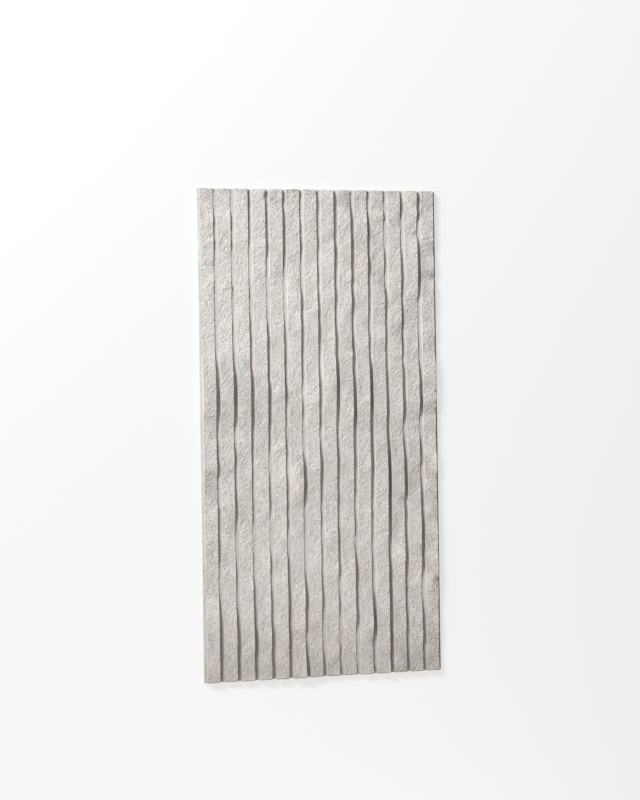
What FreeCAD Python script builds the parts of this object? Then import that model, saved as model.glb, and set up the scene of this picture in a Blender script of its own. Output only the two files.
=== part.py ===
"""Ribbed wall panel, one casting in concrete-coloured artificial stone.

Frame (millimetres): the panel lies on its flat back. X runs across the ribs,
Y runs along them, +Z points out of the decorative face. The origin is at the
middle of the back face.
"""
import FreeCAD, Part
import os

# ---- driving dimensions (mm) ------------------------------------------------
WIDTH = 600.0          # across the ribs
LENGTH = 1200.0        # along the ribs
RIBS = 14              # ribs across the width
BASE = 10.0            # plate thickness under the grooves and ledges
GROOVE = 10.8          # floor width of one groove; a ledge is half of it
DRAFT = 0.035          # lean of the rib sides, mm sideways per mm of height
LOWEST = 1.2           # no split face comes closer than this to the groove floor
SAMPLE = 8.0           # spacing of the surface's control points along a rib

PITCH = WIDTH / RIBS

# The split faces, one list for each rib from -X to +X. A station is (distance
# from the -Y end, height at the left edge, in the middle, at the right edge),
# heights measured over the groove floors.
RELIEF = [
    [   # rib 1
      (0, 10.5, 11, 9.5), (15, 10.5, 10, 10), (35, 10, 10, 9), (60, 8, 10.5, 11),
      (90, 11.5, 11, 11), (115, 12, 10.5, 10.5), (130, 10.5, 9.5, 11), (155, 8.5, 8.5, 10),
      (175, 5, 5.5, 7.5), (190, 2, 4.5, 7), (205, 1, 3, 4.5), (225, 4.5, 3, 2), (235, 5, 2.5, 2),
      (280, 4, 4, 3.5), (310, 8, 6.5, 7), (330, 9.5, 8, 6), (365, 6, 6.5, 6), (385, 7, 7.5, 7),
      (400, 8, 7, 6.5), (410, 6, 6, 7.5), (420, 6, 6, 9), (440, 6, 6, 3), (465, 9.5, 5.5, 3),
      (485, 10, 6.5, 3.5), (495, 9.5, 6, 3.5), (515, 12.5, 10.5, 9.5), (530, 11.5, 11.5, 12),
      (550, 10.5, 8.5, 6.5), (575, 7.5, 6, 6.5), (590, 5.5, 5.5, 4.5), (605, 7, 6, 3.5),
      (620, 7, 7.5, 6.5), (625, 7.5, 7.5, 6.5), (630, 8, 8.5, 6), (650, 13.5, 12, 10),
      (665, 14, 13.5, 13), (700, 16.5, 17, 15), (715, 18, 16.5, 14), (740, 13.5, 12.5, 11.5),
      (755, 13.5, 12, 11), (785, 7, 6, 5), (820, 1.5, 1, 2), (965, 1, 3, 2), (990, 1, 1.5, 1.5),
      (1010, 1, 2, 2.5), (1020, 3.5, 5, 3), (1030, 5, 5, 3), (1040, 4, 4, 3), (1055, 3.5, 4.5, 5),
      (1070, 4.5, 6.5, 6.5), (1075, 5, 5.5, 6.5), (1085, 4.5, 4, 4.5), (1095, 3, 4, 4),
      (1115, 4, 5.5, 5), (1125, 3.5, 5, 6), (1130, 4.5, 4.5, 5.5), (1140, 4.5, 3.5, 2.5),
      (1170, 2, 3, 1.5), (1190, 5, 4.5, 2.5), (1200, 6, 6, 4),
    ],
    [   # rib 2
      (0, 5.5, 8.5, 8.5), (25, 11, 10, 9.5), (35, 12, 11.5, 10), (55, 13, 11, 10),
      (80, 11.5, 11.5, 11), (100, 13, 12.5, 12.5), (115, 12.5, 11.5, 11), (130, 11.5, 10.5, 11),
      (145, 10.5, 9, 9), (165, 7.5, 6.5, 7.5), (190, 4, 3.5, 3), (225, 1.5, 3.5, 4), (250, 5, 4, 5),
      (275, 3, 3, 4), (305, 6.5, 3.5, 2.5), (320, 4, 2, 1), (345, 2, 2.5, 1), (360, 3, 3.5, 2),
      (375, 5.5, 5.5, 3.5), (405, 8, 9, 8), (415, 9.5, 10.5, 9.5), (435, 11, 11.5, 9.5),
      (450, 10, 9, 7), (465, 7.5, 7.5, 7.5), (480, 6, 6.5, 6), (490, 6.5, 6.5, 6.5),
      (510, 10.5, 8, 5.5), (515, 10.5, 7.5, 5), (550, 8.5, 8, 9), (575, 8, 6, 4),
      (600, 4, 2.5, 2.5), (620, 5.5, 5, 5), (625, 6, 6.5, 6), (645, 12, 12, 12.5),
      (655, 15, 15, 14), (670, 16.5, 15, 13), (700, 16.5, 17, 16.5), (710, 17.5, 18, 16),
      (725, 18, 17.5, 15.5), (745, 17.5, 15.5, 14), (760, 16.5, 13.5, 10), (780, 10.5, 6.5, 6),
      (805, 3.5, 4, 5), (815, 1.5, 2.5, 3), (840, 1, 1.5, 3), (865, 2, 3, 4.5), (885, 1, 1.5, 2.5),
      (910, 1, 1, 2), (950, 1, 2.5, 3.5), (960, 1, 4.5, 4.5), (970, 2.5, 4, 3),
      (980, 2.5, 2.5, 1.5), (995, 1, 1, 1), (1040, 1, 2.5, 1), (1055, 4, 3.5, 3.5),
      (1070, 5, 5, 5.5), (1085, 5.5, 4.5, 3.5), (1090, 5.5, 4, 3), (1105, 4, 4, 4.5),
      (1130, 3.5, 4.5, 5), (1150, 1, 1, 1.5), (1185, 1, 1, 1.5), (1200, 1, 4, 2.5),
    ],
    [   # rib 3
      (0, 10.5, 11, 10.5), (15, 11.5, 10, 9.5), (35, 12.5, 12, 10.5), (50, 13.5, 10.5, 8),
      (65, 12, 11, 10.5), (75, 11, 11.5, 13.5), (85, 11.5, 13, 15), (100, 14, 13.5, 13.5),
      (115, 15, 13.5, 13.5), (145, 10, 9, 8), (180, 5.5, 7, 8.5), (205, 6, 6, 5.5),
      (225, 6, 6.5, 7.5), (240, 5, 5, 4.5), (265, 4, 2.5, 2), (295, 2.5, 2.5, 3),
      (310, 3, 3.5, 2.5), (325, 2, 2, 1), (375, 2.5, 1.5, 1), (400, 6.5, 5.5, 5), (430, 9, 7, 5.5),
      (470, 7, 6, 3.5), (505, 6.5, 6, 5.5), (525, 6.5, 4.5, 4), (540, 7, 5.5, 5.5),
      (565, 8, 6.5, 5.5), (580, 8, 8, 7), (600, 6.5, 7, 7), (615, 9, 8.5, 7.5), (645, 13, 13.5, 13),
      (670, 15, 15.5, 13), (700, 16, 14.5, 13), (715, 15.5, 14.5, 14), (725, 15, 14, 12.5),
      (740, 14.5, 14, 13), (755, 14, 12, 9), (770, 11.5, 9, 6), (810, 4, 5, 6.5),
      (835, 4.5, 6, 7.5), (860, 5, 6, 5.5), (875, 5.5, 6, 6), (905, 2.5, 3.5, 2.5),
      (925, 1.5, 2.5, 2.5), (945, 2.5, 4.5, 4), (965, 3.5, 3.5, 3), (1005, 1, 1, 2),
      (1020, 1, 1.5, 3), (1040, 1, 2.5, 1.5), (1065, 4, 3.5, 4), (1080, 3, 4.5, 6),
      (1095, 3, 4.5, 5.5), (1130, 4, 5, 7), (1155, 3.5, 5, 5.5), (1170, 2.5, 6, 8),
      (1180, 3.5, 7.5, 7), (1190, 4.5, 6.5, 6), (1200, 7.5, 7, 5),
    ],
    [   # rib 4
      (0, 10, 12, 9.5), (10, 11, 11, 10), (30, 13, 12, 11.5), (55, 11.5, 10.5, 8.5),
      (70, 11.5, 9.5, 8.5), (105, 11, 11, 12.5), (125, 11, 9.5, 9.5), (145, 8.5, 7.5, 6),
      (165, 6, 6, 6.5), (190, 6.5, 6, 7.5), (220, 6.5, 6, 6), (250, 4, 4, 3.5), (265, 3.5, 4, 5.5),
      (285, 4.5, 5, 6), (305, 4, 5, 5), (320, 3.5, 3, 1.5), (335, 2, 1, 1), (385, 1.5, 2, 1),
      (400, 3.5, 3, 2), (430, 4, 5, 6.5), (440, 5, 6.5, 6), (460, 6.5, 6, 5), (485, 5, 5.5, 5),
      (500, 4, 4.5, 3), (520, 4, 3, 1.5), (550, 3, 3, 2.5), (565, 3.5, 4, 5), (580, 5.5, 6.5, 6),
      (620, 9, 8, 7), (645, 11, 10, 10), (670, 13, 11, 9.5), (695, 13.5, 13, 12.5),
      (705, 14, 13.5, 11.5), (715, 14.5, 14, 12.5), (720, 15, 13.5, 12), (730, 15, 12, 9.5),
      (740, 13, 10, 7), (755, 9.5, 8, 6.5), (770, 7, 6.5, 7), (790, 8.5, 8, 8),
      (810, 7.5, 7.5, 7.5), (830, 9.5, 9, 9.5), (840, 8, 8.5, 10), (850, 7.5, 7.5, 7.5),
      (870, 6, 5.5, 5.5), (885, 4.5, 3.5, 2.5), (925, 1, 1, 1), (945, 1.5, 2.5, 1.5),
      (970, 2, 2.5, 1), (995, 4, 4, 3.5), (1025, 4, 4, 4), (1050, 4.5, 7, 8), (1065, 7, 9, 10),
      (1085, 8, 8.5, 7.5), (1095, 8, 8, 8.5), (1110, 7.5, 8, 7.5), (1145, 6.5, 7.5, 8),
      (1160, 6.5, 7, 6.5), (1180, 6, 7, 8), (1190, 4.5, 7.5, 10.5), (1200, 4, 7.5, 10.5),
    ],
    [   # rib 5
      (0, 11.5, 11.5, 11), (25, 12, 11, 9), (45, 11, 10, 10), (60, 10.5, 11, 9),
      (110, 10.5, 10.5, 11.5), (125, 9, 9, 8.5), (150, 6, 7.5, 8), (180, 9, 10, 11),
      (195, 10, 10, 10), (215, 9.5, 10, 10.5), (230, 9.5, 9.5, 9), (240, 8, 8.5, 9.5),
      (255, 6.5, 6.5, 8), (290, 8.5, 6.5, 6.5), (320, 3.5, 4, 2), (355, 1, 2, 3), (375, 1, 4, 6),
      (385, 3.5, 6, 7.5), (395, 6.5, 7, 7), (405, 7, 6, 5), (415, 6.5, 5.5, 5), (430, 7, 6.5, 7.5),
      (450, 6, 6, 6.5), (485, 7, 8, 7.5), (520, 4, 3.5, 4), (545, 3, 4, 5), (565, 5, 6.5, 6),
      (575, 5, 6, 6), (590, 5.5, 5, 5), (610, 6, 4, 2), (630, 5, 4, 4.5), (645, 6.5, 6, 4.5),
      (670, 7, 6, 5.5), (700, 9.5, 11.5, 10), (710, 10.5, 11, 9), (730, 10, 8, 5.5),
      (740, 8.5, 7, 6.5), (765, 5, 6, 6), (815, 7, 7, 7.5), (825, 9, 8, 7.5), (845, 8.5, 7, 6),
      (880, 3.5, 4.5, 4.5), (905, 3.5, 2.5, 1), (930, 1.5, 2.5, 2.5), (940, 1, 2, 1.5),
      (965, 1.5, 1.5, 1), (985, 3, 3, 2), (1000, 6, 5, 2.5), (1020, 5.5, 6.5, 5.5),
      (1065, 9, 8.5, 9), (1090, 8.5, 9, 8.5), (1110, 8.5, 9, 10), (1125, 8, 9, 8.5),
      (1135, 8.5, 9, 9.5), (1150, 8.5, 9, 7.5), (1165, 8, 6.5, 5), (1185, 10, 8.5, 9.5),
      (1200, 8.5, 9, 7.5),
    ],
    [   # rib 6
      (0, 14, 13.5, 16.5), (10, 14.5, 14.5, 16.5), (25, 13.5, 14.5, 15), (50, 13, 11.5, 10),
      (60, 12, 9.5, 7.5), (80, 9, 7, 6.5), (100, 5.5, 4.5, 2), (110, 7, 5, 4), (125, 6.5, 5.5, 8),
      (135, 5, 5.5, 8), (145, 4.5, 6.5, 9.5), (170, 7, 7.5, 8.5), (190, 9.5, 9.5, 12.5),
      (195, 9.5, 10.5, 12.5), (215, 10, 11, 11), (230, 10, 9, 8), (240, 10, 8, 7), (270, 6, 4, 2),
      (310, 2, 2, 1.5), (375, 3.5, 4, 2.5), (390, 4, 3, 3), (410, 4, 3.5, 2), (450, 8.5, 10.5, 10),
      (465, 10, 12, 11.5), (485, 12, 14.5, 15.5), (500, 12.5, 15, 11.5), (525, 13, 14, 12.5),
      (530, 13.5, 13, 11), (540, 13.5, 11, 6.5), (550, 10, 7.5, 5.5), (560, 7.5, 4, 1.5),
      (565, 6.5, 3, 1), (580, 3, 1, 1), (600, 1.5, 1.5, 1), (620, 4, 2.5, 2), (655, 6, 5.5, 5),
      (665, 8, 6.5, 6), (675, 8.5, 6.5, 5), (700, 5.5, 3, 1.5), (720, 1.5, 2.5, 3.5),
      (745, 5, 5, 5.5), (770, 3.5, 5.5, 6), (790, 5, 6, 5), (815, 6, 7, 7.5), (830, 6, 7, 7.5),
      (870, 8.5, 8.5, 9.5), (885, 7.5, 7, 7), (895, 6, 6, 6.5), (915, 6.5, 8, 9.5),
      (925, 8, 9.5, 10.5), (935, 8, 10.5, 9), (955, 6.5, 6.5, 4.5), (970, 5, 5.5, 2),
      (995, 2.5, 3.5, 2.5), (1010, 2.5, 2.5, 2), (1035, 4.5, 4.5, 4), (1060, 5.5, 7, 8),
      (1075, 8, 7, 6.5), (1085, 8, 7.5, 5.5), (1110, 7.5, 6.5, 7.5), (1115, 7.5, 6, 7),
      (1125, 7, 5.5, 4.5), (1135, 6, 5, 3.5), (1175, 5.5, 5, 5), (1190, 9, 8, 6.5),
      (1200, 9, 11.5, 6),
    ],
    [   # rib 7
      (0, 10, 9.5, 7), (30, 12.5, 11, 8.5), (45, 12, 9.5, 8), (55, 11, 8, 6), (70, 7.5, 5.5, 2),
      (95, 3, 2, 2.5), (105, 2.5, 2.5, 2), (120, 5, 3.5, 2), (130, 5, 4, 2), (145, 4, 4, 4.5),
      (165, 4.5, 5, 5), (175, 5, 6, 6.5), (195, 7.5, 8, 8.5), (225, 7.5, 7, 5.5),
      (245, 7.5, 5.5, 4.5), (260, 5, 4.5, 3.5), (285, 2.5, 3.5, 4.5), (315, 3.5, 4, 5),
      (330, 3.5, 4, 4.5), (350, 3.5, 2, 2.5), (400, 3.5, 4.5, 5.5), (420, 3.5, 3.5, 2.5),
      (435, 4, 4, 5), (470, 8.5, 7.5, 7.5), (480, 8.5, 8, 7.5), (525, 11, 11, 12),
      (545, 10.5, 10, 10.5), (555, 9.5, 8.5, 7.5), (575, 6, 5.5, 5.5), (595, 3, 3.5, 2.5),
      (605, 3, 3, 3), (630, 5, 6.5, 7), (640, 5.5, 7, 6.5), (675, 6.5, 8, 8), (690, 6, 8, 10),
      (720, 7.5, 9, 9.5), (740, 8, 6.5, 6.5), (750, 6.5, 5, 5.5), (765, 6, 5, 5),
      (790, 4.5, 5.5, 5.5), (815, 6.5, 7, 6.5), (825, 7, 6.5, 7.5), (850, 8.5, 9.5, 10.5),
      (875, 9, 9.5, 9.5), (890, 8, 8.5, 8), (910, 8.5, 9.5, 10.5), (925, 10, 9.5, 8),
      (930, 10, 8, 7), (945, 7.5, 6, 6.5), (965, 5, 5, 4.5), (980, 4.5, 5, 6),
      (1005, 3.5, 4.5, 5.5), (1015, 4.5, 5, 5.5), (1035, 6, 5, 4), (1055, 6, 7, 6.5),
      (1075, 7, 8, 8), (1095, 8, 7.5, 6), (1140, 6.5, 7, 6), (1165, 7.5, 8.5, 8.5),
      (1200, 9.5, 8.5, 5.5),
    ],
    [   # rib 8
      (0, 5, 7.5, 7.5), (10, 8, 7, 7.5), (20, 10, 8.5, 7), (35, 11, 8.5, 4), (45, 10, 6.5, 2.5),
      (50, 8.5, 5.5, 3), (65, 5, 5.5, 7), (70, 4, 5.5, 6), (80, 3.5, 4.5, 1.5), (85, 4, 3.5, 1),
      (105, 3, 1.5, 1), (135, 2, 1, 1), (155, 2, 3.5, 4.5), (180, 5, 6, 6.5), (200, 7.5, 6.5, 4.5),
      (225, 5.5, 4, 2), (245, 4.5, 4.5, 5.5), (255, 4, 6.5, 8.5), (265, 5, 8, 10), (285, 8, 8, 7),
      (315, 9, 8, 7), (350, 6, 8, 8), (365, 7, 7.5, 5.5), (395, 5, 4.5, 4.5), (425, 4, 5.5, 7),
      (440, 6.5, 7.5, 8), (450, 7.5, 9, 8.5), (475, 8.5, 8, 6.5), (485, 8, 8, 7),
      (550, 11, 10.5, 10.5), (565, 10, 9, 7.5), (580, 8, 7, 6.5), (605, 6.5, 6.5, 6),
      (645, 8, 8.5, 9), (670, 11.5, 13, 13.5), (690, 13.5, 16, 15.5), (705, 15.5, 17, 16),
      (725, 16.5, 18, 18), (735, 16, 17, 17.5), (755, 15, 15.5, 14), (770, 13, 13.5, 14.5),
      (800, 11, 10, 8.5), (820, 8, 8, 10.5), (845, 8.5, 9, 10.5), (860, 9.5, 8, 7),
      (875, 9, 6.5, 5.5), (890, 7.5, 6, 6), (920, 7.5, 8, 7), (940, 8.5, 9.5, 10.5),
      (965, 8, 8, 7.5), (980, 8.5, 8, 7.5), (1000, 7, 7, 7.5), (1030, 6, 8.5, 11),
      (1055, 9, 10.5, 12.5), (1065, 9.5, 10, 11.5), (1080, 10, 9.5, 7.5), (1085, 10, 9.5, 7.5),
      (1105, 8.5, 10, 10), (1120, 9.5, 9.5, 9), (1140, 10, 10.5, 10.5), (1160, 9.5, 10.5, 10),
      (1175, 10.5, 10.5, 12.5), (1185, 9, 10.5, 11.5), (1200, 8.5, 8.5, 8),
    ],
    [   # rib 9
      (0, 4.5, 6, 4.5), (10, 5, 4.5, 4), (20, 5, 4.5, 4), (35, 3.5, 4, 1), (60, 6.5, 2.5, 2.5),
      (70, 4.5, 3.5, 3), (95, 3, 2, 1.5), (110, 1, 2, 3.5), (125, 1.5, 5, 7.5), (150, 7.5, 10, 12),
      (155, 8, 10, 12), (175, 8.5, 8.5, 8), (195, 8, 8.5, 10), (220, 6, 8, 8.5), (230, 6, 8.5, 9.5),
      (245, 7, 10, 11), (260, 10.5, 11.5, 12), (275, 11.5, 10.5, 10), (320, 6, 4, 2.5),
      (335, 3, 1.5, 1), (345, 2.5, 1.5, 2.5), (370, 4, 5.5, 6.5), (390, 5, 5.5, 4.5),
      (425, 4.5, 4, 3.5), (450, 6, 6, 6), (470, 8, 8, 7), (505, 9, 8, 8.5), (535, 10.5, 10.5, 10),
      (580, 8.5, 8.5, 8.5), (605, 8.5, 9, 9), (625, 10, 11, 11.5), (650, 13, 15, 17.5),
      (675, 16.5, 16.5, 15.5), (725, 16.5, 15, 14.5), (735, 16.5, 14, 12.5), (745, 15, 12.5, 10.5),
      (765, 12, 10.5, 8.5), (775, 11, 9.5, 9), (795, 10, 11.5, 12.5), (810, 11.5, 11, 8.5),
      (825, 11.5, 11, 8.5), (865, 7.5, 7.5, 5), (890, 6, 7.5, 6.5), (915, 8, 9.5, 10),
      (930, 9.5, 11, 13), (940, 10, 11, 12), (955, 9.5, 9.5, 7), (965, 9.5, 8.5, 7),
      (970, 9, 7.5, 7), (985, 9, 9.5, 12), (1005, 8.5, 10, 10), (1040, 10.5, 11.5, 11.5),
      (1055, 11, 11.5, 10.5), (1070, 11, 11.5, 13), (1090, 11, 11, 11.5), (1105, 10.5, 10.5, 9.5),
      (1130, 11, 11, 11), (1155, 8.5, 9, 5.5), (1175, 10, 8, 3), (1190, 9, 7.5, 3.5),
      (1200, 6, 6.5, 4.5),
    ],
    [   # rib 10
      (0, 9, 10, 10.5), (20, 8.5, 8.5, 8), (35, 7, 7, 4), (50, 7.5, 6.5, 6), (60, 7, 6, 5.5),
      (75, 6, 7.5, 4.5), (85, 7, 9.5, 6.5), (105, 8, 11, 11), (120, 10.5, 13.5, 17.5),
      (130, 12, 14.5, 19.5), (135, 12.5, 15, 19), (145, 14, 16, 15.5), (165, 15, 13.5, 12.5),
      (175, 13.5, 11.5, 10.5), (190, 11, 10.5, 9.5), (210, 9, 8, 5), (230, 6.5, 5, 4),
      (275, 6, 6, 5.5), (300, 5.5, 5, 4.5), (315, 3.5, 3.5, 2.5), (345, 1.5, 3.5, 5.5),
      (375, 6, 6, 6), (385, 6, 5, 5.5), (400, 5.5, 5.5, 8), (420, 6.5, 5.5, 5.5), (465, 8, 10, 10),
      (485, 11.5, 11, 9.5), (505, 12.5, 12, 11.5), (525, 11.5, 12, 14.5), (545, 13, 13.5, 13),
      (575, 12, 11.5, 10.5), (600, 10.5, 11, 11.5), (620, 12.5, 12.5, 11.5), (635, 13, 12.5, 11),
      (655, 13.5, 12.5, 13), (670, 13.5, 14, 15.5), (685, 15.5, 16, 17.5), (700, 16.5, 16, 15),
      (725, 16.5, 15.5, 16.5), (740, 15, 14.5, 14), (765, 12, 12.5, 13), (775, 11.5, 11.5, 11),
      (785, 11, 9.5, 7), (800, 8.5, 6.5, 5), (835, 4.5, 5.5, 6.5), (860, 5.5, 5.5, 3.5),
      (900, 5.5, 7, 7), (925, 9, 8, 8), (965, 7, 8, 8.5), (985, 8.5, 8, 7.5), (995, 8.5, 8.5, 9),
      (1015, 8.5, 11, 13), (1025, 10, 12, 12.5), (1050, 10.5, 9.5, 7.5), (1060, 10.5, 9, 8.5),
      (1075, 10.5, 9.5, 8), (1095, 10.5, 10.5, 10.5), (1115, 10, 9.5, 9), (1135, 7, 7, 7.5),
      (1145, 6, 6, 4.5), (1160, 6, 5, 3.5), (1170, 4.5, 4.5, 4), (1185, 5.5, 5.5, 5.5),
      (1200, 7, 7, 8),
    ],
    [   # rib 11
      (0, 9.5, 11, 14.5), (20, 12.5, 13.5, 14), (45, 12.5, 12, 9.5), (60, 12.5, 12.5, 12),
      (75, 12, 12.5, 12.5), (100, 12, 12, 13.5), (120, 13.5, 12.5, 11), (165, 11.5, 12.5, 13.5),
      (195, 11, 12, 12), (210, 11.5, 12.5, 12.5), (220, 12, 12, 12), (230, 10, 10.5, 10),
      (240, 9.5, 11, 12), (270, 11.5, 11.5, 12), (295, 9, 9, 7.5), (330, 7.5, 9.5, 9.5),
      (340, 7.5, 9.5, 11), (355, 9.5, 11.5, 14.5), (365, 11, 13.5, 14), (385, 12, 13.5, 13.5),
      (410, 13, 14, 15.5), (440, 14, 15, 15), (470, 16, 17.5, 19), (485, 16.5, 18, 18),
      (500, 18.5, 18.5, 19), (550, 17.5, 16.5, 15), (595, 11, 10.5, 9), (620, 10, 9, 7.5),
      (630, 9, 9, 8), (645, 10, 9.5, 11), (690, 10.5, 10.5, 11), (710, 11, 10, 8.5),
      (725, 10, 9.5, 10), (735, 9.5, 9.5, 9.5), (765, 8, 7, 6), (780, 6, 6.5, 6.5),
      (810, 6.5, 6, 5), (840, 7, 7.5, 8.5), (855, 5.5, 7, 8.5), (870, 7, 7, 6.5),
      (935, 11, 11, 10.5), (955, 10, 10, 7), (970, 9, 7.5, 3), (980, 8.5, 6, 2.5),
      (990, 8.5, 5.5, 2.5), (1015, 5.5, 6.5, 7), (1045, 8, 7, 6.5), (1055, 8, 7.5, 4),
      (1060, 7.5, 6.5, 2.5), (1070, 6, 3.5, 1), (1090, 3, 1, 1), (1110, 2, 2.5, 1.5),
      (1120, 2.5, 3.5, 2.5), (1135, 5, 6.5, 6.5), (1140, 4.5, 5.5, 6.5), (1150, 4.5, 5, 3),
      (1160, 4.5, 4, 1), (1180, 4, 4.5, 4.5), (1200, 5, 6, 4),
    ],
    [   # rib 12
      (0, 7, 8, 7), (15, 12.5, 12, 10), (20, 12.5, 13.5, 11.5), (30, 14.5, 14, 11),
      (35, 14.5, 13.5, 9.5), (40, 14, 13, 8.5), (80, 11, 8.5, 8), (115, 8, 9, 9),
      (140, 10, 8.5, 9.5), (160, 10, 8.5, 7), (195, 6.5, 6.5, 6.5), (220, 5.5, 7.5, 8),
      (235, 6.5, 6, 5), (250, 6.5, 7, 8.5), (270, 6, 7.5, 9), (290, 5, 9, 13.5), (310, 7, 10, 12),
      (350, 10, 8, 9), (365, 10, 7, 7.5), (385, 9.5, 7.5, 8), (405, 9.5, 10, 10),
      (430, 12, 11, 6.5), (440, 12.5, 11, 9), (455, 13, 13, 15.5), (460, 13.5, 14, 15.5),
      (475, 15.5, 16.5, 15), (495, 16.5, 15.5, 14.5), (510, 15.5, 15.5, 13.5), (540, 14, 12, 11.5),
      (555, 11.5, 9.5, 8.5), (585, 8.5, 7, 5.5), (600, 6.5, 5, 2), (610, 5.5, 4.5, 2.5),
      (625, 5, 4.5, 5), (650, 7, 8.5, 11), (660, 8, 9.5, 11.5), (680, 10, 10, 11.5),
      (700, 9.5, 9.5, 9), (730, 9, 9, 8.5), (760, 8.5, 8.5, 9), (780, 7, 5.5, 3), (800, 4.5, 5, 7),
      (815, 4, 6.5, 6.5), (825, 5.5, 7.5, 6.5), (840, 8.5, 8, 4.5), (850, 8.5, 7.5, 4),
      (875, 8.5, 9, 8), (895, 7, 8, 8.5), (915, 8, 8.5, 7.5), (935, 9.5, 7, 4.5),
      (950, 6.5, 6.5, 6.5), (975, 6, 8, 9), (990, 7, 9, 10), (1005, 8, 9.5, 9), (1020, 9, 8, 8),
      (1040, 7, 6.5, 7), (1055, 4.5, 5, 3.5), (1070, 2.5, 3, 2.5), (1090, 1, 2, 2.5),
      (1105, 1.5, 2.5, 3), (1120, 3.5, 3.5, 2), (1130, 5, 6, 3), (1150, 4.5, 7, 6.5),
      (1165, 7, 8, 9), (1175, 6, 8, 8.5), (1190, 7, 6, 5), (1200, 8, 5, 4.5),
    ],
    [   # rib 13
      (0, 9, 8.5, 9), (25, 10.5, 9.5, 9), (35, 10.5, 9.5, 7), (45, 10.5, 10, 7), (60, 10, 8.5, 6.5),
      (75, 8.5, 8.5, 8.5), (90, 9, 10.5, 12), (105, 9.5, 11, 10), (120, 11.5, 10, 10),
      (145, 8, 8.5, 9), (165, 5.5, 6.5, 5.5), (175, 6, 5, 4), (195, 4.5, 3, 1.5), (205, 4, 3, 1.5),
      (230, 1, 2, 3.5), (245, 1, 3, 5), (260, 4, 6.5, 10), (270, 6.5, 10, 12.5), (280, 11, 13, 12),
      (285, 12, 12.5, 11), (300, 11, 11.5, 9.5), (325, 11.5, 12.5, 13), (360, 12.5, 13.5, 14),
      (380, 12, 12, 13), (395, 11, 11, 10), (430, 9, 9, 9), (455, 10, 9, 9), (470, 12.5, 9, 6),
      (480, 12, 9, 6), (500, 10, 6, 2), (520, 7.5, 7, 5.5), (535, 7.5, 8.5, 9), (540, 7.5, 9, 9),
      (560, 9, 8, 7), (575, 7.5, 7.5, 7), (600, 4.5, 2.5, 1), (620, 4, 2, 1), (635, 4.5, 4.5, 3.5),
      (660, 9, 10, 12.5), (680, 12.5, 14, 15), (700, 14, 12.5, 11.5), (720, 11.5, 11, 12.5),
      (740, 11.5, 10, 9.5), (750, 10, 9, 9), (770, 7, 6, 6), (785, 5.5, 3.5, 1.5),
      (815, 3.5, 3, 4.5), (835, 4, 3.5, 3), (855, 2.5, 2, 2.5), (875, 3.5, 3, 2),
      (895, 4.5, 3.5, 3), (915, 4.5, 3.5, 1.5), (930, 4.5, 4.5, 3), (950, 4.5, 7, 9),
      (970, 7.5, 9.5, 10), (985, 10, 11, 13), (995, 11, 12.5, 14), (1010, 11.5, 12, 12),
      (1030, 10.5, 11, 12), (1075, 6.5, 8, 10), (1080, 6.5, 7.5, 8.5), (1090, 6, 5.5, 2),
      (1095, 5.5, 4.5, 1), (1110, 4.5, 3, 3.5), (1125, 2, 3.5, 4.5), (1145, 3, 6, 11.5),
      (1165, 5, 8.5, 8.5), (1185, 6.5, 10, 12.5), (1190, 7, 10.5, 12.5), (1200, 7, 10.5, 9.5),
    ],
    [   # rib 14
      (0, 7.5, 9, 8.5), (20, 9.5, 7, 6.5), (40, 10.5, 8.5, 6.5), (70, 6.5, 6, 3.5),
      (95, 11.5, 9, 8), (110, 9, 8, 7.5), (130, 9, 7.5, 8.5), (160, 5, 6.5, 6), (175, 5, 7, 7),
      (195, 7, 8, 7.5), (210, 10, 13.5, 10.5), (225, 11, 15, 9), (235, 13.5, 16.5, 13.5),
      (245, 15, 15, 14), (260, 13, 11, 10), (275, 10.5, 10, 11), (290, 6.5, 8, 9),
      (300, 5.5, 7.5, 8), (310, 6.5, 7.5, 8.5), (330, 10.5, 9.5, 10), (350, 10, 9, 10),
      (375, 7.5, 7.5, 7), (390, 9, 11, 8), (400, 10, 11, 9), (430, 9, 9, 5.5), (455, 11, 9.5, 8.5),
      (475, 7, 7.5, 5.5), (485, 6.5, 8, 6), (500, 10.5, 11, 11), (510, 11.5, 9.5, 11),
      (530, 9, 8.5, 12), (545, 5, 6, 7.5), (555, 3, 5, 5.5), (570, 3.5, 5, 6.5), (595, 4, 5, 4.5),
      (620, 7, 8.5, 8.5), (650, 9, 7.5, 6.5), (655, 10, 9.5, 8), (660, 12, 11, 11.5),
      (670, 14.5, 13.5, 13.5), (685, 12.5, 14, 13), (720, 14, 13.5, 13), (735, 14.5, 15, 14.5),
      (750, 12.5, 13.5, 13), (770, 11, 12, 13), (780, 9, 10, 10), (815, 7.5, 6.5, 4.5),
      (830, 7, 7, 5.5), (850, 9, 9.5, 9), (875, 7, 6.5, 6), (890, 7.5, 7, 6.5), (905, 6, 6, 6),
      (920, 7.5, 8.5, 8), (930, 7.5, 7.5, 8), (940, 8, 9, 8), (960, 9, 8.5, 8), (970, 8, 7, 6.5),
      (980, 6.5, 5, 2), (985, 6.5, 5.5, 2), (1000, 10, 9.5, 8), (1010, 10.5, 9, 9),
      (1030, 7.5, 6, 7.5), (1050, 7, 5.5, 5), (1055, 7, 6.5, 5), (1070, 7.5, 8, 8), (1075, 9, 8, 8),
      (1080, 8, 8.5, 8.5), (1090, 7.5, 7.5, 8.5), (1095, 7, 7, 7), (1115, 6, 8, 8),
      (1140, 6.5, 6, 8), (1175, 10, 9.5, 8.5), (1200, 9.5, 8.5, 8.5),
    ],
]

V = FreeCAD.Vector
X0 = -WIDTH / 2.0
Y0 = -LENGTH / 2.0
Y1 = LENGTH / 2.0


def foot_left(rib):
    """X where the left side of a rib meets the groove floor."""
    return X0 + rib * PITCH + GROOVE / 2.0


def foot_right(rib):
    return X0 + (rib + 1) * PITCH - GROOVE / 2.0


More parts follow.
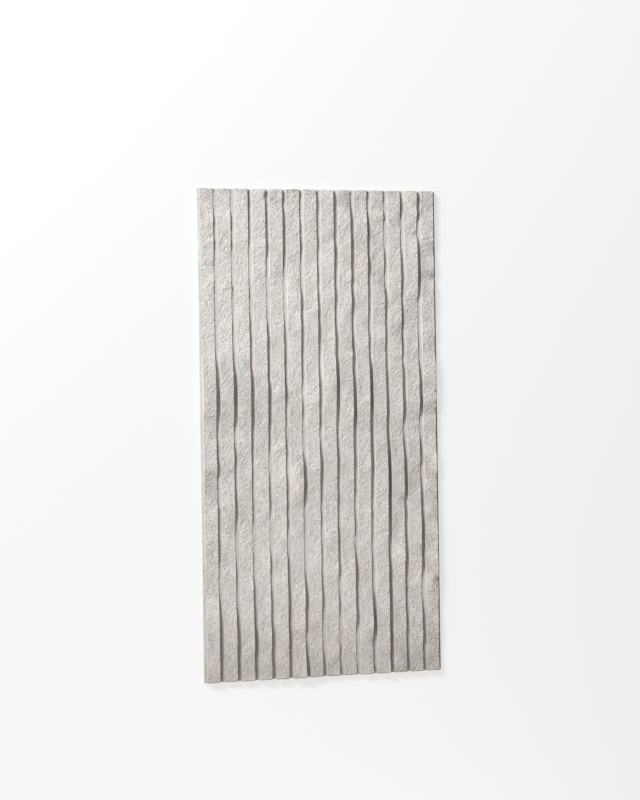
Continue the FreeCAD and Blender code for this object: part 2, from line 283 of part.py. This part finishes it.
def between(rib, column, y):
    """Height of one line of a split face, with no swing past its stations."""
    ys = [st[0] for st in RELIEF[rib]]
    h = [max(LOWEST, st[column]) for st in RELIEF[rib]]
    step = [b - a for a, b in zip(ys, ys[1:])]
    rise = [(b - a) / s for a, b, s in zip(h, h[1:], step)]
    slope = [rise[0]]
    for i in range(len(rise) - 1):
        a, b, p, q = rise[i], rise[i + 1], step[i], step[i + 1]
        slope.append(3 * (p + q) / ((2 * q + p) / a + (q + 2 * p) / b) if a * b > 0 else 0.0)
    slope.append(rise[-1])
    i = 0
    while i < len(step) - 1 and y > ys[i + 1]:
        i += 1
    u, s = (y - ys[i]) / step[i], step[i]
    return (h[i] * (1 + 2 * u) * (1 - u) ** 2 + slope[i] * s * u * (1 - u) ** 2
            + h[i + 1] * u * u * (3 - 2 * u) - slope[i + 1] * s * u * u * (1 - u))


def poles(count):
    """Places of the poles of a clamped quadratic spline over 0..1."""
    last = count - 2
    knots = [0, 0] + list(range(last + 1)) + [last, last]
    return [(knots[i + 1] + knots[i + 2]) / 2.0 / last for i in range(count)]


def split_face(rib):
    """The rough top of one rib, a smooth surface that follows its heights."""
    ny, nx = int(round(LENGTH / SAMPLE)) + 1, 7
    rows = []
    for t in poles(nx):
        row = []
        for v in poles(ny):
            y = v * LENGTH
            hl, hc, hr = (between(rib, c, y) for c in (1, 2, 3))
            xl = foot_left(rib) + hl * DRAFT
            xr = foot_right(rib) - hr * DRAFT
            h = hl * (1 - t) * (1 - 2 * t) + hc * 4 * t * (1 - t) + hr * t * (2 * t - 1)
            row.append(V(xl + (xr - xl) * t, Y0 + y, BASE + max(h, LOWEST)))
        rows.append(row)
    surface = Part.BSplineSurface()
    surface.buildFromPolesMultsKnots(
        rows, [3] + [1] * (nx - 3) + [3], [3] + [1] * (ny - 3) + [3],
        list(range(nx - 1)), list(range(ny - 1)), False, False, 2, 2)
    return surface.toShape()


def border(face, where):
    """The boundary edge of a split face whose points all satisfy a test."""
    for edge in face.Edges:
        a, b = edge.FirstParameter, edge.LastParameter
        pts = [edge.valueAt(a + (b - a) * i / 4.0) for i in range(5)]
        if all(where(p) for p in pts):
            return edge
    raise ValueError("border not found")


def line(a, b):
    return Part.LineSegment(a, b).toShape()


def planar(edges):
    return Part.Face(Part.Wire(Part.__sortEdges__(edges)))


def rect(p, q, r, s):
    return planar([line(p, q), line(q, r), line(r, s), line(s, p)])


faces = []
ends = {Y0: [], Y1: []}

for rib in range(RIBS):
    face = split_face(rib)
    faces.append(face)
    xl, xr = foot_left(rib), foot_right(rib)
    # the two sides, smooth and slightly leaning, with the split edge on top
    for x, sign in ((xl, 1.0), (xr, -1.0)):
        edge = border(face, lambda p: abs(p.x - (x + sign * DRAFT * (p.z - BASE))) < 1e-4)
        tops = sorted((v.Point for v in edge.Vertexes), key=lambda p: p.y)
        a, b = V(x, Y0, BASE), V(x, Y1, BASE)
        faces.append(planar([edge, line(a, tops[0]), line(b, tops[-1]), line(a, b)]))
    for y in (Y0, Y1):
        edge = border(face, lambda p: abs(p.y - y) < 1e-4)
        tops = sorted((v.Point for v in edge.Vertexes), key=lambda p: p.x)
        ends[y] += [line(V(xl, y, BASE), tops[0]), edge, line(tops[-1], V(xr, y, BASE))]

# groove floors, with the half-width ledges along both long edges
stops = [X0]
for rib in range(RIBS):
    stops += [foot_left(rib), foot_right(rib)]
stops.append(-X0)
for i in range(0, len(stops), 2):
    a, b = stops[i], stops[i + 1]
    faces.append(rect(V(a, Y0, BASE), V(b, Y0, BASE), V(b, Y1, BASE), V(a, Y1, BASE)))
    for y in (Y0, Y1):
        ends[y].append(line(V(a, y, BASE), V(b, y, BASE)))

# ends, long sides and back
for y in (Y0, Y1):
    ends[y] += [line(V(X0, y, BASE), V(X0, y, 0)), line(V(X0, y, 0), V(-X0, y, 0)),
                line(V(-X0, y, 0), V(-X0, y, BASE))]
    faces.append(planar(ends[y]))
for x in (X0, -X0):
    faces.append(rect(V(x, Y0, 0), V(x, Y1, 0), V(x, Y1, BASE), V(x, Y0, BASE)))
faces.append(rect(V(X0, Y0, 0), V(-X0, Y0, 0), V(-X0, Y1, 0), V(X0, Y1, 0)))

shell = Part.makeCompound(faces)
shell.sewShape(1e-4)
panel = Part.Solid(Part.Shell(shell.Faces))
if panel.Volume < 0:
    panel.reverse()
box = panel.optimalBoundingBox()
print("wall_panel valid", panel.isValid(), "closed", panel.Shells[0].isClosed(),
      "volume cm3 %.1f" % (panel.Volume / 1000.0),
      "box %.2f x %.2f x %.2f" % (box.XLength, box.YLength, box.ZLength))

os.makedirs("parts", exist_ok=True)
panel.exportStep("parts/wall_panel.step")
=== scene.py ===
import math
import bpy
import numpy as np
from mathutils import Matrix, Vector
from mathutils.bvhtree import BVHTree


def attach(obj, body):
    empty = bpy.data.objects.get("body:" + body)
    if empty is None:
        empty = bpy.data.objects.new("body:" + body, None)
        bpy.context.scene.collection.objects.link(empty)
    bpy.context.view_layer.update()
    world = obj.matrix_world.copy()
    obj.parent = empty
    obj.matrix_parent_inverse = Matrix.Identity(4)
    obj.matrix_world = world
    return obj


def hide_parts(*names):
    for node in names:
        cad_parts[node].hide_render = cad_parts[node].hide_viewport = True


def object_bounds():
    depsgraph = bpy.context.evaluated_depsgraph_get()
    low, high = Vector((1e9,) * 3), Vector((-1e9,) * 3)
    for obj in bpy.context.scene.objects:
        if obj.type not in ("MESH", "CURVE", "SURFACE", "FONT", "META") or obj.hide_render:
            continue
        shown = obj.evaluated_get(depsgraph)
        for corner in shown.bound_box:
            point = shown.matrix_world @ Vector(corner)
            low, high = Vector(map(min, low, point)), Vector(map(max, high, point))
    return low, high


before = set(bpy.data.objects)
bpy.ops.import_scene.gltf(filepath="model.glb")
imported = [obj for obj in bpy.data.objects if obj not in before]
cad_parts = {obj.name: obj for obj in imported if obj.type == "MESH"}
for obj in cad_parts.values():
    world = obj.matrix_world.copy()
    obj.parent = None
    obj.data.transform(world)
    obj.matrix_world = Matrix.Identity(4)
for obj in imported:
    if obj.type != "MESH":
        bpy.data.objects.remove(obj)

scene = bpy.context.scene
cad_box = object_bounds()

# ---- sizes, in millimetres --------------------------------------------------
WIDTH, LENGTH, RIBS = 600.0, 1200.0, 14
BASE, GROOVE, DRAFT = 10.0, 10.8, 0.035
PITCH = WIDTH / RIBS
X0, Y0 = -WIDTH / 2, -LENGTH / 2
LOWEST = 0.7           # least height of a split face over the groove floor
END_CHAMFER = (1.9, 0.6)   # worn arris at the -Y and the +Y end
ROWS = 800             # cells along a rib before the mesh is thinned
COLS = 21              # cells across one split face
TRIANGLES = 190000     # kept after thinning

# ---- camera -----------------------------------------------------------------
cam_data = bpy.data.cameras.new("camera")
cam = bpy.data.objects.new("camera", cam_data)
scene.collection.objects.link(cam)
cam_data.sensor_width = 36.0
cam_data.lens = 1605.03 * 36.0 / 800.0
cam_data.clip_end = 100.0
turn = Matrix(((0.972408, 0.016669, -0.232693),
               (-0.015287, 0.999853, 0.007744),
               (0.232788, -0.003973, 0.972519))).to_4x4()
cam.matrix_world = Matrix.Translation((-0.92324, 0.11284, 3.86102)) @ turn
scene.camera = cam
scene.view_settings.view_transform = "Standard"


# ---- noise ------------------------------------------------------------------
def lattice(seed, size=512):
    return np.random.default_rng(seed).standard_normal((size, size))


def soft_noise(x, y, cell, seed):
    """Smooth noise of unit spread with features about one cell wide."""
    g = lattice(seed)
    n = g.shape[0]
    u, v = x / cell + 37.3, y / cell + 91.7
    i, j = np.floor(u).astype(int), np.floor(v).astype(int)
    a, b = u - i, v - j
    a = a * a * a * (a * (a * 6 - 15) + 10)
    b = b * b * b * (b * (b * 6 - 15) + 10)
    i0, j0, i1, j1 = i % n, j % n, (i + 1) % n, (j + 1) % n
    h = (g[i0, j0] * (1 - a) * (1 - b) + g[i1, j0] * a * (1 - b)
         + g[i0, j1] * (1 - a) * b + g[i1, j1] * a * b)
    return h * 1.55


def cells(x, y, cell, seed):
    """For every point, the offsets to the nearby jittered cell centres."""
    rng = np.random.default_rng(seed)
    n = 512
    jx, jy = rng.random((n, n)), rng.random((n, n))
    r = [rng.standard_normal((n, n)) for _ in range(3)]
    u, v = x / cell + 51.2, y / cell + 77.7
    i, j = np.floor(u).astype(int), np.floor(v).astype(int)
    for di in (-1, 0, 1):
        for dj in (-1, 0, 1):
            p, q = (i + di) % n, (j + dj) % n
            yield ((u - (i + di) - jx[p, q]), (v - (j + dj) - jy[p, q]),
                   r[0][p, q], r[1][p, q], r[2][p, q])


def scallops(x, y, cell, seed, bowl, lean, step):
    """Shallow bowls that meet in crisp ridges, as a hammer leaves on stone."""
    h = np.full(x.shape, 1e9)
    for dx, dy, a, b, c in cells(x, y, cell, seed):
        h = np.minimum(h, bowl * (dx * dx + dy * dy) + lean * (a * dx + b * dy) + step * c)
    return h - h.mean()


def facets(x, y, cell, seed, lean, step):
    """Small broken planes, each the nearest cell's own."""
    best = np.full(x.shape, 1e9)
    h = np.zeros(x.shape)
    for dx, dy, a, b, c in cells(x, y, cell, seed):
        d = dx * dx + dy * dy
        near = d < best
        best = np.where(near, d, best)
        h = np.where(near, lean * (a * dx + b * dy) + step * c, h)
    return h - h.mean()


# ---- relief carried over from the CAD node ----------------------------------
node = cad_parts["wall_panel"]
tree = BVHTree.FromPolygons([v.co.copy() for v in node.data.vertices],
                            [tuple(p.vertices) for p in node.data.polygons])


def foot_left(rib):
    return X0 + rib * PITCH + GROOVE / 2


def foot_right(rib):
    return X0 + (rib + 1) * PITCH - GROOVE / 2


def cad_height(x, y):
    hit = tree.ray_cast(Vector((x / 1000, y / 1000, 1.0)), Vector((0, 0, -1)))
    return hit[0].z * 1000 - BASE


def rib_relief(rib, ys, ts):
    """Height over the groove floor at every row and place across one rib."""
    ya = np.linspace(Y0 + 0.5, -Y0 - 0.5, 241)
    ta = np.linspace(0.0, 1.0, 7)
    a, b = foot_left(rib) + 1.2, foot_right(rib) - 1.2
    h = np.array([[cad_height(a + (b - a) * t, y) for t in ta] for y in ya])
    along = np.array([np.interp(ys, ya, h[:, k]) for k in range(len(ta))]).T
    return np.array([np.interp(ts, ta, row) for row in along])


# ---- the panel's surface ----------------------------------------------------
ys = np.linspace(Y0, -Y0, ROWS + 1)
ys[1], ys[-2] = Y0 + END_CHAMFER[0], -Y0 - END_CHAMFER[1]
ts = np.linspace(0.0, 1.0, COLS + 1)
top_limit = cad_box[1][2] * 1000 - BASE - 0.05


def wander(seed):
    """How far a line along the panel strays from straight, in mm."""
    z = np.zeros_like(ys)
    return 0.6 * soft_noise(z, ys, 7.0, seed) + 0.4 * soft_noise(z, ys, 17.0, seed + 1)


def split_face(rib):
    """x and height of every grid point of one rough face."""
    hb = rib_relief(rib, ys, ts)
    s = 1000 * rib
    xl = foot_left(rib) + hb[:, :1] * DRAFT + 0.10 * wander(s + 20)[:, None]
    xr = foot_right(rib) - hb[:, -1:] * DRAFT + 0.10 * wander(s + 30)[:, None]
    x = xl + (xr - xl) * ts[None, :]
    y = np.repeat(ys[:, None], COLS + 1, 1)
    u, v = (x + y) * 0.7071, (y - x) * 0.7071      # along and across the split's grain
    rough = scallops(x, y, 26.0, s + 1, 0.45, 0.28, 0.12)
    rough += scallops(u / 1.6, v, 11.0, s + 2, 0.21, 0.15, 0.05)
    rough += facets(u / 2.0, v, 6.0, s + 3, 0.13, 0.05)
    rough += 0.11 * soft_noise(u / 2.3, v, 5.0, s + 4)
    rough += 0.14 * soft_noise(u / 2.0, v, 3.0, s + 5)
    rough += creases(x, y)
    rough -= 0.8 * ts * (1 - ts)                   # the faces are a little flatter than cut
    return x, np.clip(hb + rough, LOWEST, top_limit)


# single marks of the splitting: (x, y) of both ends, bow to +Y, depth, half width
CREASES = [
    (100, 70, 124, 76, 2.5, 0.9, 2.0), (234, 9, 254, 25, -2.0, 1.2, 2.6),
    (-116, -44, -91, -35, 1.0, 0.7, 1.8), (-70, 10, -45, 4, -2.0, 0.7, 1.8),
    (-69, 123, -53, 121, 1.0, 0.6, 1.8), (-201, -27, -176, -27, 2.5, 0.7, 1.8),
    (-31, -86, -8, -91, 1.5, 0.7, 1.8), (-284, 45, -262, 43, 1.5, 0.7, 2.0),
    (-290, 491, -268, 484, -1.5, 0.9, 2.0), (-291, 416, -266, 413, 2.0, 0.8, 2.0),
    (-243, 354, -219, 359, 2.0, 0.8, 2.0), (265, 479, 294, 485, 1.5, 1.3, 2.0),
    (265, 469, 294, 473, -1.5, 1.2, 2.0), (180, 516, 206, 520, -3.0, 0.9, 2.0),
    (139, 529, 163, 533, 2.5, 0.8, 1.8), (234, 493, 252, 501, -1.5, 0.9, 1.8),
    (222, 331, 247, 330, 1.0, 0.6, 1.6), (46, 318, 67, 317, 1.0, 0.6, 1.6),
    (-72, -473, -47, -471, 1.5, 1.0, 2.2), (-74, -485, -50, -477, 2.0, 0.9, 2.2),
]
# broken spots on the edges: x, y, radius along X and Y, depth
CHIPS = [
    (-132.5, 583, 3.0, 8.0, 4.0), (-74, 590, 7.0, 9.0, 2.5), (294, 100, 3.0, 3.0, 1.8),
    (294, 71, 2.5, 4.0, 1.8), (295, 52, 3.0, 3.5, 1.8), (294, 146, 2.5, 3.0, 1.5),
    (293, -371, 4.0, 3.5, 2.2), (292, 388, 2.5, 4.0, 1.5),
]


def creases(x, y):
    """Low steps that face -Y and run out gently to +Y, and the broken spots."""
    h = np.zeros(x.shape)
    for xa, ya, xb, yb, bow, depth, width in CREASES:
        long = math.hypot(xb - xa, yb - ya)
        cu, cv = (xb - xa) / long, (yb - ya) / long
        t = ((x - xa) * cu + (y - ya) * cv) / long
        d = (y - ya) * cu - (x - xa) * cv - bow * 4 * t * (1 - t)
        inside = np.clip((t + 0.08) / 0.16, 0, 1) * np.clip((1.08 - t) / 0.16, 0, 1)
        h += inside * depth * np.exp(-(d / np.where(d < 0, 0.8 * width, 4.5 * width)) ** 2)
    for xc, yc, rx, ry, depth in CHIPS:
        h -= depth * np.exp(-((x - xc) / rx) ** 2 - ((y - yc) / ry) ** 2)
    return h


columns = []           # (x, z) of each line that runs along the panel, in mm
one = np.ones_like(ys)


def flat(x, z, waves=0.0, seed=0):
    zz = z * one
    if waves:
        zz = zz + waves * soft_noise(x * one, ys, 30.0, seed)
    columns.append((x * one, zz))


flat(X0, 0.0)
flat(X0, BASE - 0.7)
flat(X0 + 0.7, BASE)
flat(X0 + GROOVE / 4, BASE, 0.06, 71)
for rib in range(RIBS):
    fx, fh = split_face(rib)
    xl, xr = foot_left(rib), foot_right(rib)
    flat(xl, BASE)
    columns.append((0.5 * (xl + fx[:, 0]) + 0.05 * soft_noise(0 * ys, ys, 18.0, 500 + rib),
                    BASE + 0.5 * fh[:, 0]))
    for k in range(COLS + 1):
        columns.append((fx[:, k], BASE + fh[:, k]))
    columns.append((0.5 * (xr + fx[:, -1]) - 0.05 * soft_noise(0 * ys, ys, 18.0, 600 + rib),
                    BASE + 0.5 * fh[:, -1]))
    flat(xr, BASE)
    if rib < RIBS - 1:
        flat(xr + GROOVE / 2, BASE, 0.06, 80 + rib)
flat(-X0 - GROOVE / 4, BASE, 0.06, 72)
flat(-X0 - 0.7, BASE)
flat(-X0, BASE - 0.7)
flat(-X0, 0.0)

cx = np.array([c[0] for c in columns])
cz = np.array([c[1] for c in columns])
cz[1:-1, 0] -= END_CHAMFER[0]
cz[1:-1, -1] -= END_CHAMFER[1]
nc, nr = cx.shape
verts = np.stack([cx, np.repeat(ys[None], nc, 0), cz], -1).reshape(-1, 3) * 0.001
idx = np.arange(nc * nr).reshape(nc, nr)
quads = np.stack([idx[:-1, :-1], idx[1:, :-1], idx[1:, 1:], idx[:-1, 1:]], -1).reshape(-1, 4)
end_a = idx[::-1, 0]               # -Y end
end_b = idx[:, -1]                 # +Y end
under = np.concatenate([idx[0, :], idx[-1, ::-1]])

loops = np.concatenate([quads.ravel(), end_a, end_b, under])
counts = np.concatenate([np.full(len(quads), 4), [len(end_a), len(end_b), len(under)]])
starts = np.concatenate([[0], np.cumsum(counts)[:-1]])
raw = bpy.data.meshes.new("panel_raw")
raw.vertices.add(len(verts))
raw.vertices.foreach_set("co", verts.ravel())
raw.loops.add(len(loops))
raw.loops.foreach_set("vertex_index", loops.astype(np.int32))
raw.polygons.add(len(counts))
raw.polygons.foreach_set("loop_start", starts.astype(np.int32))
raw.update(calc_edges=True)
raw.validate()

panel = bpy.data.objects.new("stone_panel", raw)
scene.collection.objects.link(panel)
triangles = int(sum(counts - 2))
thin = panel.modifiers.new("thin", "DECIMATE")
thin.ratio = TRIANGLES / triangles
thin.use_collapse_triangulate = True
dg = bpy.context.evaluated_depsgraph_get()
mesh = bpy.data.meshes.new_from_object(panel.evaluated_get(dg), depsgraph=dg)
panel.modifiers.clear()
panel.data = mesh
co = np.empty(len(mesh.vertices) * 3)
mesh.vertices.foreach_get("co", co)
co = np.clip(co.reshape(-1, 3), np.array(cad_box[0]), np.array(cad_box[1]) - (0, 0, 1e-5))
mesh.vertices.foreach_set("co", co.ravel())
mesh.name = "stone_panel"
bpy.data.meshes.remove(raw)
mesh.polygons.foreach_set("use_smooth", np.ones(len(mesh.polygons), bool))
mesh.set_sharp_from_angle(angle=math.radians(42))
print("panel mesh", len(mesh.vertices), "vertices", len(mesh.polygons), "faces")


# ---- materials --------------------------------------------------------------
def ramp(nodes, stops):
    r = nodes.new("ShaderNodeValToRGB")
    els = r.color_ramp.elements
    while len(els) < len(stops):
        els.new(0.5)
    for e, (pos, col) in zip(els, stops):
        e.position = pos
        e.color = (*col, 1.0) if len(col) == 3 else col
    return r


# the stone's colour holds painted shade: darker towards the borders and the -Y end, and in
# the smooth stone darker along Y between two given levels
def stone(name, rough_face, painted_light_levels=(0.81, 0.89)):
    mat = bpy.data.materials.new(name)
    mat.use_nodes = True
    nt = mat.node_tree
    nodes, links = nt.nodes, nt.links
    nodes.clear()
    out = nodes.new("ShaderNodeOutputMaterial")
    bsdf = nodes.new("ShaderNodeBsdfPrincipled")
    bsdf.inputs["Roughness"].default_value = 0.92
    bsdf.inputs["Specular IOR Level"].default_value = 0.25
    links.new(bsdf.outputs["BSDF"], out.inputs["Surface"])
    tc = nodes.new("ShaderNodeTexCoord")

    def noise(scale, detail=2.0, rough=0.5, lac=2.0, seed=0.0):
        n = nodes.new("ShaderNodeTexNoise")
        n.noise_dimensions = "4D"
        n.inputs["W"].default_value = seed
        n.inputs["Scale"].default_value = scale
        n.inputs["Detail"].default_value = detail
        n.inputs["Roughness"].default_value = rough
        n.inputs["Lacunarity"].default_value = lac
        links.new(tc.outputs["Object"], n.inputs["Vector"])
        return n

    def mix(kind, fac, a, b):
        m = nodes.new("ShaderNodeMix")
        m.data_type = "RGBA"
        m.blend_type = kind
        if isinstance(fac, (int, float)):
            m.inputs[0].default_value = fac
        else:
            links.new(fac, m.inputs[0])
        for s, v in ((6, a), (7, b)):
            if isinstance(v, tuple):
                m.inputs[s].default_value = (*v, 1.0)
            else:
                links.new(v, m.inputs[s])
        return m.outputs[2]

    # broad drift between a greenish grey and a pinkish beige
    broad = ramp(nodes, [(0.34, (0.620, 0.610, 0.588)), (0.50, (0.638, 0.620, 0.598)),
                         (0.66, (0.650, 0.614, 0.593))])
    links.new(noise(16.0, 3.0, 0.55, seed=2.0).outputs["Fac"], broad.inputs["Fac"])
    # and between a yellower and a bluer grey
    hue = ramp(nodes, [(0.34, (1.005, 1.0, 0.973)), (0.66, (0.995, 1.0, 1.026))])
    links.new(noise(13.0, 3.0, 0.55, seed=17.0).outputs["Fac"], hue.inputs["Fac"])
    drift = mix("MULTIPLY", 1.0, broad.outputs["Color"], hue.outputs["Color"])
    # lighter and darker clouds a few centimetres wide
    cloud = ramp(nodes, [(0.30, (0.93, 0.93, 0.93)), (0.70, (1.05, 1.05, 1.05))])
    links.new(noise(34.0, 4.0, 0.6, seed=5.0).outputs["Fac"], cloud.inputs["Fac"])
    col = mix("MULTIPLY", 1.0, drift, cloud.outputs["Color"])
    # painted shade: a warmer, darker colour towards the -Y end, standing in for the lamps'
    # light falling off there; it is mixed in below
    place = nodes.new("ShaderNodeSeparateXYZ")
    links.new(tc.outputs["Object"], place.inputs["Vector"])
    def power(value, scale, exponent):
        a = nodes.new("ShaderNodeMath")
        a.operation = "MULTIPLY"
        a.inputs[1].default_value = scale
        links.new(value, a.inputs[0])
        b = nodes.new("ShaderNodeMath")
        b.operation = "POWER"
        b.inputs[1].default_value = exponent
        c = nodes.new("ShaderNodeMath")
        c.operation = "ABSOLUTE"
        links.new(a.outputs[0], c.inputs[0])
        links.new(c.outputs[0], b.inputs[0])
        return b.outputs[0]

    # painted shade: slightly darker towards the borders of the panel, standing in for the
    # lamps' light falling off there
    border_shade = nodes.new("ShaderNodeMath")
    border_shade.operation = "ADD"
    border_shade.use_clamp = True
    links.new(power(place.outputs["X"], 0.74, 2.0), border_shade.inputs[0])
    links.new(power(place.outputs["Y"], 0.96, 4.0), border_shade.inputs[1])
    col = mix("MIX", border_shade.outputs[0], col, mix("MULTIPLY", 1.0, col, (0.20, 0.20, 0.20)))
    # painted shade at the -Y end, mixed in here
    end_shade_mask = nodes.new("ShaderNodeMapRange")
    end_shade_mask.interpolation_type = "SMOOTHSTEP"
    end_shade_mask.inputs["From Min"].default_value = -0.64
    end_shade_mask.inputs["From Max"].default_value = -0.34
    links.new(place.outputs["Y"], end_shade_mask.inputs["Value"])
    end_shaded_colour = mix("MULTIPLY", 1.0, col, (0.893, 0.880, 0.879))
    col = mix("MIX", end_shade_mask.outputs["Result"], end_shaded_colour, col)
    # sand grains, and a fine relief that is longer along the grain of the split
    along = nodes.new("ShaderNodeVectorMath")
    along.operation = "DOT_PRODUCT"
    along.inputs[1].default_value = (0.7071 / 1.5, 0.7071 / 1.5, 0.0)
    across = nodes.new("ShaderNodeVectorMath")
    across.operation = "DOT_PRODUCT"
    across.inputs[1].default_value = (-0.7071, 0.7071, 0.0)
    grain_place = nodes.new("ShaderNodeCombineXYZ")
    for node_in, socket in ((along, "X"), (across, "Y")):
        links.new(tc.outputs["Object"], node_in.inputs[0])
        links.new(node_in.outputs["Value"], grain_place.inputs[socket])
    links.new(place.outputs["Z"], grain_place.inputs["Z"])
    sand = nodes.new("ShaderNodeTexVoronoi")
    sand.inputs["Scale"].default_value = 600.0
    links.new(tc.outputs["Object"], sand.inputs["Vector"])
    grain = ramp(nodes, [(0.15, (0.68, 0.677, 0.67)), (0.50, (1.0, 1.0, 1.0)),
                         (0.85, (1.14, 1.14, 1.144))])
    links.new(sand.outputs["Color"], grain.inputs["Fac"])
    col = mix("MULTIPLY", 1.0 if rough_face else 0.4, col, grain.outputs["Color"])
    # small open pores, bumped in as holes; the darker colour in them is painted shade
    pores = nodes.new("ShaderNodeTexVoronoi")
    pores.inputs["Scale"].default_value = 95.0 if rough_face else 60.0
    links.new(tc.outputs["Object"], pores.inputs["Vector"])
    hole = ramp(nodes, [(0.05, (0.0, 0.0, 0.0)), (0.12, (1.0, 1.0, 1.0))])
    links.new(pores.outputs["Distance"], hole.inputs["Fac"])
    pore_shade = mix("MULTIPLY", 1.0, col, (0.62, 0.60, 0.58))
    col = mix("MIX", hole.outputs["Color"], pore_shade, col)
    # painted shade in the smooth stone: its colour falls from the upper level at +Y to the
    # lower level towards -Y, standing in for the light falling off there
    if not rough_face:
        shade = nodes.new("ShaderNodeMapRange")
        shade.interpolation_type = "SMOOTHSTEP"
        shade.inputs["From Min"].default_value = 0.0
        shade.inputs["From Max"].default_value = 0.40
        links.new(place.outputs["Y"], shade.inputs["Value"])
        col = mix("MIX", shade.outputs["Result"], mix("MULTIPLY", 1.0, col, (painted_light_levels[0],) * 3),
                  mix("MULTIPLY", 1.0, col, (painted_light_levels[1],) * 3))
    links.new(col, bsdf.inputs["Base Color"])

    fine = noise(360.0, 1.0, 0.5, seed=11.0)
    links.new(grain_place.outputs["Vector"], fine.inputs["Vector"])
    b1 = nodes.new("ShaderNodeBump")
    b1.inputs["Strength"].default_value = 1.0
    b1.inputs["Distance"].default_value = 0.0020 if rough_face else 0.0003
    links.new(fine.outputs["Fac"], b1.inputs["Height"])
    b2 = nodes.new("ShaderNodeBump")
    b2.inputs["Strength"].default_value = 1.0
    b2.inputs["Distance"].default_value = 0.0006
    links.new(hole.outputs["Color"], b2.inputs["Height"])
    links.new(b1.outputs["Normal"], b2.inputs["Normal"])
    links.new(b2.outputs["Normal"], bsdf.inputs["Normal"])
    return mat


mesh.materials.clear()
mesh.materials.append(stone("split_stone", True))
mesh.materials.append(stone("cast_stone", False))
mesh.materials.append(stone("cast_side_painted_light", False, (0.95, 1.0)))      # painted light: sides that face -X, towards the key lamp, are paler
mesh.materials.append(stone("cast_end_painted_shade", False, (0.62, 0.80)))      # painted shade: worn arrises at the -Y end, darkened to stand in for the line of shade under the ribs' ends
centre = np.empty(len(mesh.polygons) * 3)
normal = np.empty(len(mesh.polygons) * 3)
mesh.polygons.foreach_get("center", centre)
mesh.polygons.foreach_get("normal", normal)
centre, normal = centre.reshape(-1, 3) * 1000, normal.reshape(-1, 3)
place = (centre[:, 0] - X0) % PITCH
on_rib = (place > GROOVE / 2 + 0.05) & (place < PITCH - GROOVE / 2 - 0.05)
split = on_rib & (centre[:, 2] > BASE + 0.3) & (normal[:, 2] > 0.35)
# painted light goes on the sides that face -X, towards the key lamp
side = (normal[:, 0] < -0.7) & (centre[:, 2] > BASE)
# painted shade goes on the worn arrises at the -Y end
end = (centre[:, 1] < Y0 + END_CHAMFER[0] - 0.2) & (normal[:, 1] < -0.3)
slot = np.where(split, 0, np.where(side, 2, 1))
mesh.polygons.foreach_set("material_index", np.where(end, 3, slot).astype(np.int32))
mesh.update()

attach(panel, "root")
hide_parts("wall_panel")

# ---- floor and light --------------------------------------------------------
floor_mesh = bpy.data.meshes.new("floor")
floor_mesh.from_pydata([(-8, -8, 0), (8, -8, 0), (8, 8, 0), (-8, 8, 0)], [], [(0, 1, 2, 3)])
floor = bpy.data.objects.new("floor", floor_mesh)
scene.collection.objects.link(floor)
pale = bpy.data.materials.new("pale_floor")
pale.use_nodes = True
paint = pale.node_tree.nodes["Principled BSDF"].inputs
paint["Base Color"].default_value = (0.24, 0.24, 0.24, 1)
paint["Roughness"].default_value = 0.9
paint["Specular IOR Level"].default_value = 0.1
paint["Emission Color"].default_value = (1.0, 1.0, 1.0, 1)
paint["Emission Strength"].default_value = 0.66
floor_mesh.materials.append(pale)


def softbox(name, place, aim, size, power, colour=(1, 1, 1)):
    light = bpy.data.lights.new(name, "AREA")
    light.shape = "RECTANGLE"
    light.size, light.size_y = size
    light.energy = power
    light.color = colour
    ob = bpy.data.objects.new(name, light)
    scene.collection.objects.link(ob)
    ob.location = place
    ob.rotation_euler = (Vector(aim) - Vector(place)).to_track_quat("-Z", "Y").to_euler()
    return ob


softbox("key", (-3.38, 3.35, 3.20), (0.73, 3.5, 0.0), (1.6, 1.6), 520,
        (0.990, 1.0, 1.010))
softbox("wide", (-3.3, 0.0, 3.0), (0.0, -0.2, 0.0), (3.0, 3.0), 42)
softbox("side", (-3.0, 0.2, 0.9), (0.0, 0.2, 0.3), (5.0, 1.5), 16, (1.05, 1.0, 0.93))
softbox("fill", (0.0, -1.5, 0.6), (0.0, -0.4, 0.0), (1.6, 0.8), 6.6, (1.10, 1.0, 0.88))

world = bpy.data.worlds.new("studio")
world.use_nodes = True
bg = world.node_tree.nodes["Background"]
bg.inputs["Color"].default_value = (1.10, 0.97, 0.82, 1.0)
bg.inputs["Strength"].default_value = 0.11
scene.world = world
